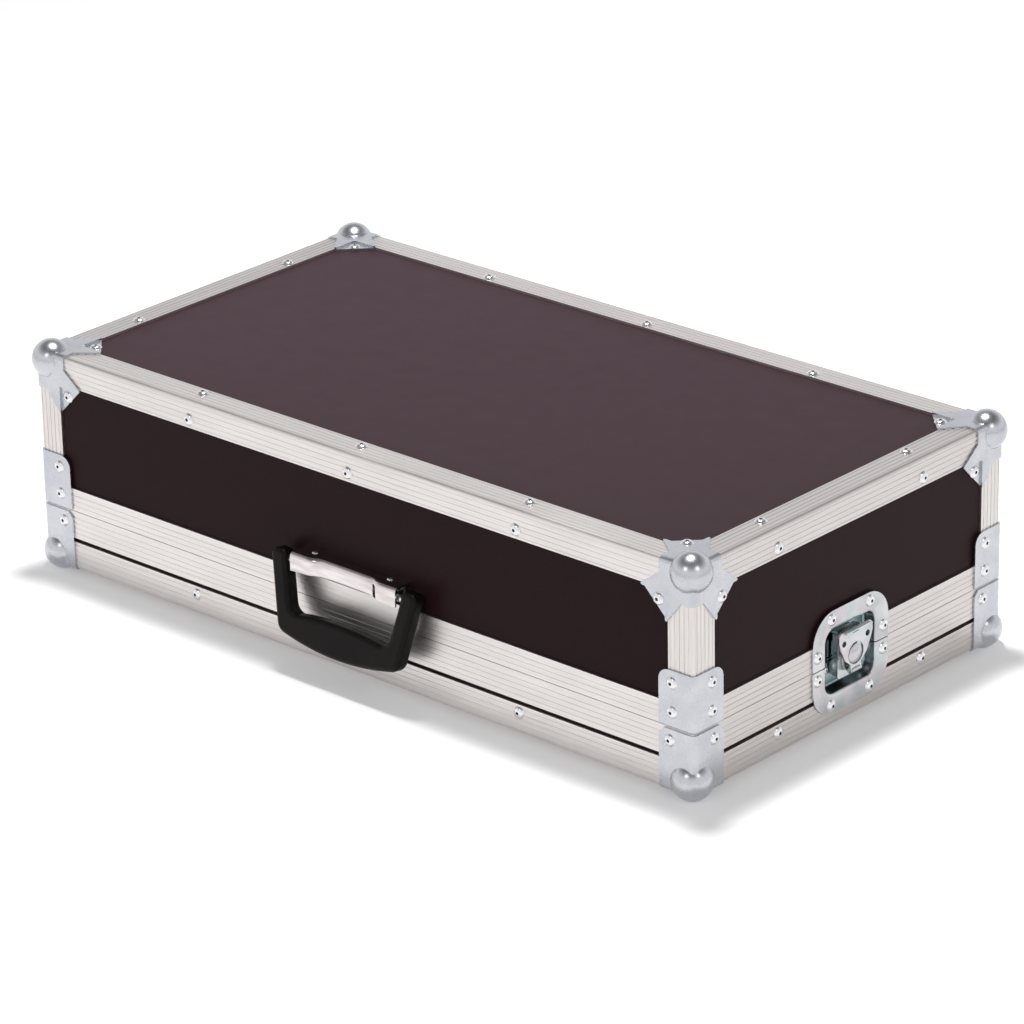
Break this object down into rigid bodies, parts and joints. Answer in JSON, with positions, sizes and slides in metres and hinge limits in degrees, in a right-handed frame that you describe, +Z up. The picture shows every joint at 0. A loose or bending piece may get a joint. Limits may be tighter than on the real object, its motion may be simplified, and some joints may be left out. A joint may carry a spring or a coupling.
{
  "type": "synthesizer transport case with lift-off lid",
  "caption": "Rectangular transport case with a lift-off lid, aluminium edges, ball corners, recessed twist latches and a folding carrying handle.",
  "frame": {"origin": "bottom centre of the whole case's bounding box, handle and ball corners included, on the ground", "axes": "+X along the case's length to the right as seen from the handle side, +Y from the handle side to the back, +Z up"},
  "size_m": [0.6224, 0.3549, 0.1743],
  "materials": {
    "board": "plywood faced with dark brown-black laminate",
    "profile": "satin, finely grooved along its length",
    "corner_steel": "galvanised, soft sheen",
    "rivet_steel": "bright",
    "zinc_steel": "zinc plated with faint pink and green tints",
    "chrome_steel": "polished",
    "handle_plastic": "satin black moulding",
    "foam": "fine open-cell foam"
  },
  "bodies": {
    "tray": {"tray_floor_panel": "board", "tray_front_panel": "board", "tray_rear_panel": "board", "tray_left_panel": "board", "tray_right_panel": "board", "tray_front_edge": "profile", "tray_rear_edge": "profile", "tray_left_edge": "profile", "tray_right_edge": "profile", "tray_front_rim": "profile", "tray_rear_rim": "profile", "tray_left_rim": "profile", "tray_right_rim": "profile", "tray_front_left_corner": "corner_steel", "tray_front_right_corner": "corner_steel", "tray_rear_left_corner": "corner_steel", "tray_rear_right_corner": "corner_steel", "tray_rivets": "rivet_steel", "tray_floor_foam": "foam", "tray_wall_foam": "foam", "latch_rivets": "rivet_steel", "latch_left_lower_dish": "zinc_steel", "latch_left_bridge": "zinc_steel", "latch_right_lower_dish": "zinc_steel", "latch_right_bridge": "zinc_steel"},
    "lid": {"lid_top_panel": "board", "lid_front_panel": "board", "lid_rear_panel": "board", "lid_left_panel": "board", "lid_right_panel": "board", "lid_front_edge": "profile", "lid_rear_edge": "profile", "lid_left_edge": "profile", "lid_right_edge": "profile", "lid_front_rim": "profile", "lid_rear_rim": "profile", "lid_left_rim": "profile", "lid_right_rim": "profile", "lid_front_left_corner": "corner_steel", "lid_front_right_corner": "corner_steel", "lid_rear_left_corner": "corner_steel", "lid_rear_right_corner": "corner_steel", "lid_uprights": "profile", "lid_brackets": "corner_steel", "lid_rivets": "rivet_steel", "lid_roof_foam": "foam", "lid_wall_foam": "foam", "handle_bracket": "corner_steel", "handle_cover": "chrome_steel", "handle_rivets": "rivet_steel", "latch_left_upper_dish": "zinc_steel", "latch_right_upper_dish": "zinc_steel"},
    "handle": {"handle_grip": "handle_plastic", "handle_pins": "rivet_steel"},
    "left_spindle": {"latch_left_spindle": "zinc_steel"},
    "left_wing": {"latch_left_wing": "zinc_steel"},
    "left_hook": {"latch_left_hook": "zinc_steel"},
    "right_spindle": {"latch_right_spindle": "zinc_steel"},
    "right_wing": {"latch_right_wing": "zinc_steel"},
    "right_hook": {"latch_right_hook": "zinc_steel"}
  },
  "joints": [
    {"name": "lid_lift", "type": "slide", "parent": "tray", "child": "lid", "axis": [0, 0, 1], "range_m": [0, 0.2]},
    {"name": "handle_swing", "type": "hinge", "parent": "lid", "child": "handle", "pos_m": [0.005, -0.16269, 0.0786], "axis": [-1, 0, 0], "range_deg": [0, 160]},
    {"name": "latch_left_turn", "type": "hinge", "parent": "tray", "child": "left_spindle", "pos_m": [-0.3033, 0.00631, 0.0527], "axis": [-1, 0, 0], "range_deg": [0, 180]},
    {"name": "latch_left_fold", "type": "hinge", "parent": "left_spindle", "child": "left_wing", "pos_m": [-0.3076, 0.00631, 0.0412], "axis": [0, -1, 0], "range_deg": [0, 90]},
    {"name": "latch_left_hook_rise", "type": "slide", "parent": "tray", "child": "left_hook", "axis": [0, 0, 1], "range_m": [0, 0.0035]},
    {"name": "latch_right_turn", "type": "hinge", "parent": "tray", "child": "right_spindle", "pos_m": [0.3033, 0.00631, 0.0527], "axis": [1, 0, 0], "range_deg": [0, 180]},
    {"name": "latch_right_fold", "type": "hinge", "parent": "right_spindle", "child": "right_wing", "pos_m": [0.3076, 0.00631, 0.0412], "axis": [0, 1, 0], "range_deg": [0, 90]},
    {"name": "latch_right_hook_rise", "type": "slide", "parent": "tray", "child": "right_hook", "axis": [0, 0, 1], "range_m": [0, 0.0035]}
  ],
  "couplings": [
    {"joint": "latch_left_turn", "follows": "latch_left_hook_rise", "rad_per_m": 897.5},
    {"joint": "latch_right_turn", "follows": "latch_right_hook_rise", "rad_per_m": 897.5}
  ]
}
